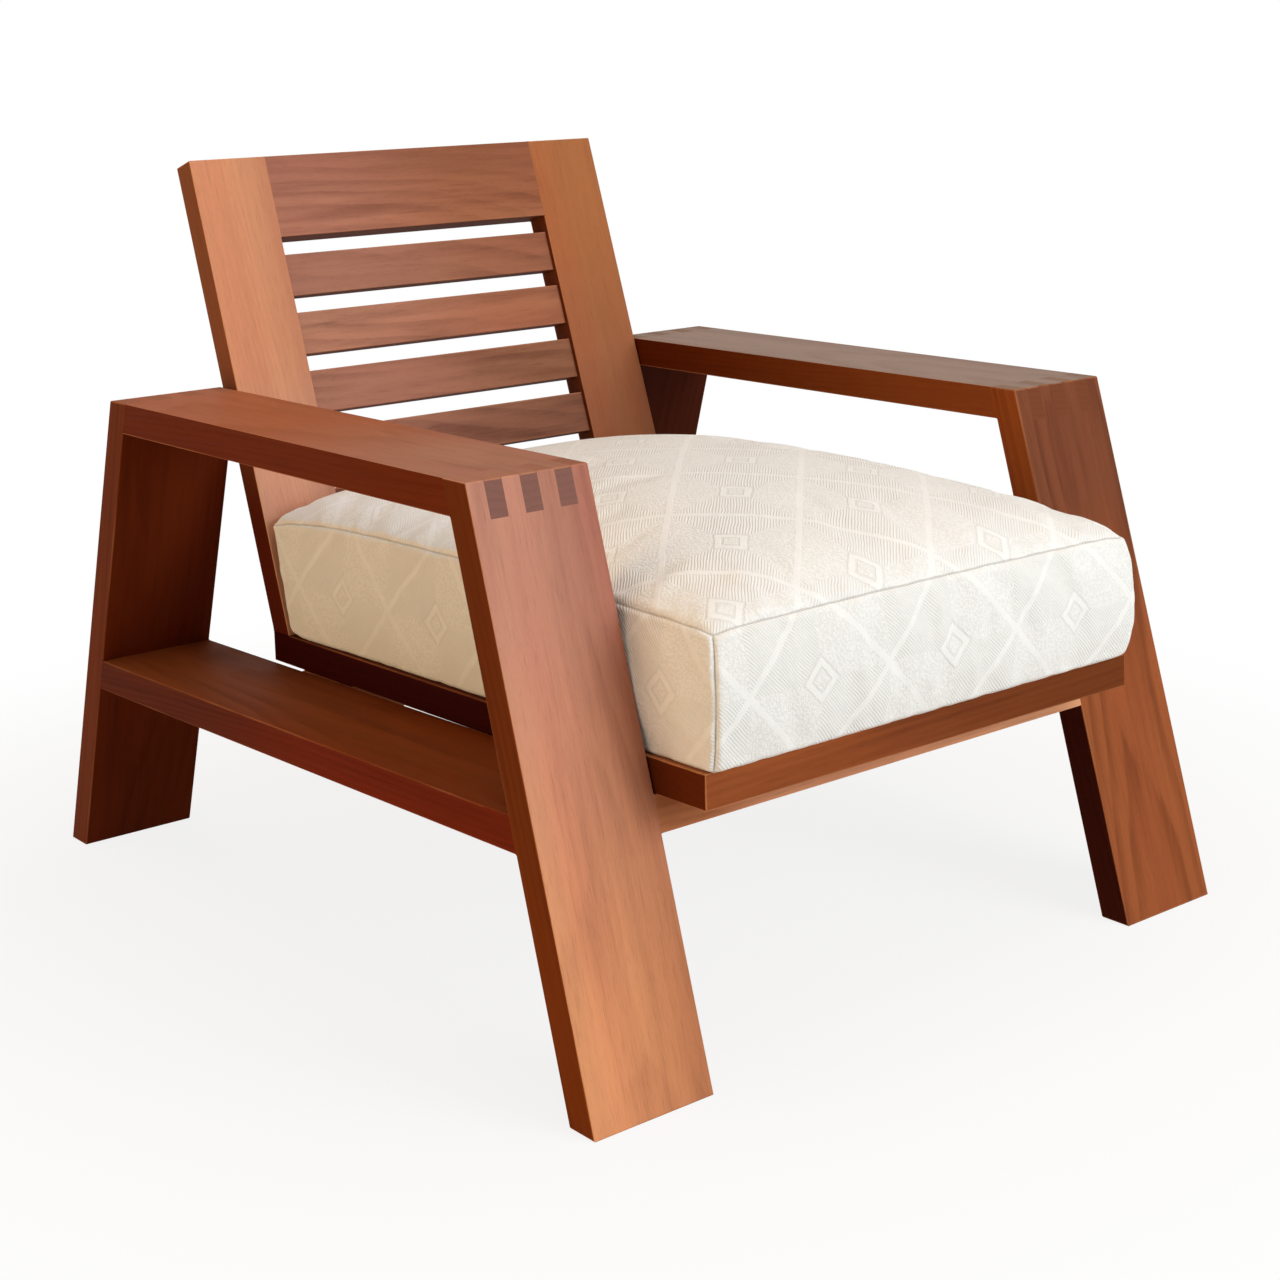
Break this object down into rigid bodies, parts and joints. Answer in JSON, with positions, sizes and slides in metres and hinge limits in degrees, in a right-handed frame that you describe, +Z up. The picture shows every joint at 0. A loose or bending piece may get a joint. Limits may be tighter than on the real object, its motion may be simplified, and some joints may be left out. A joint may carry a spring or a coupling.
{
  "type": "lounge chair",
  "caption": "Slatted timber lounge chair with wide board side frames, flat arms, a low shelf in each side and a thick loose boxed seat cushion.",
  "frame": {"origin": "on the floor, on the middle plane, midway between the front edge of the front feet and the rear edge of the rear feet", "axes": "+X to the right as the chair is seen from the front, the front faces -Y, +Z up"},
  "size_m": [0.794, 0.9261, 0.7396],
  "materials": {
    "frame_wood": "satin",
    "slat_wood": "satin",
    "dowel_wood": "matte",
    "screw_steel": "satin",
    "cover_cloth": "matte",
    "cushion_foam": "matte",
    "zip_metal": "satin"
  },
  "bodies": {
    "chair_frame": {"left_arm": "frame_wood", "right_arm": "frame_wood", "left_front_leg": "frame_wood", "right_front_leg": "frame_wood", "left_rear_leg": "frame_wood", "right_rear_leg": "frame_wood", "left_side_shelf": "frame_wood", "right_side_shelf": "frame_wood", "front_stretcher": "frame_wood", "rear_stretcher": "frame_wood", "stretcher_dowels": "dowel_wood", "seat_front_rail": "frame_wood", "seat_rear_rail": "frame_wood", "left_seat_rail": "frame_wood", "right_seat_rail": "frame_wood", "seat_slat_1": "slat_wood", "seat_slat_2": "slat_wood", "seat_slat_3": "slat_wood", "seat_slat_4": "slat_wood", "seat_slat_5": "slat_wood", "seat_slat_6": "slat_wood", "seat_slat_7": "slat_wood", "seat_screws": "screw_steel", "left_back_stile": "frame_wood", "right_back_stile": "frame_wood", "back_top_rail": "frame_wood", "back_bottom_rail": "frame_wood", "back_slat_1": "slat_wood", "back_slat_2": "slat_wood", "back_slat_3": "slat_wood", "back_slat_4": "slat_wood", "back_slat_5": "slat_wood"},
    "seat_cushion": {"cushion_core": "cushion_foam", "cushion_top_panel": "cover_cloth", "cushion_boxing": "cover_cloth", "cushion_bottom_panel": "cover_cloth", "zip_chain": "zip_metal"},
    "zip_slider": {"zip_slider": "zip_metal"}
  },
  "joints": [
    {"name": "cushion_lift", "type": "slide", "parent": "chair_frame", "child": "seat_cushion", "axis": [0, 0, 1], "range_m": [0, 0.3]},
    {"name": "zip_slide", "type": "slide", "parent": "seat_cushion", "child": "zip_slider", "axis": [1, 0, 0], "range_m": [0, 0.355]}
  ]
}
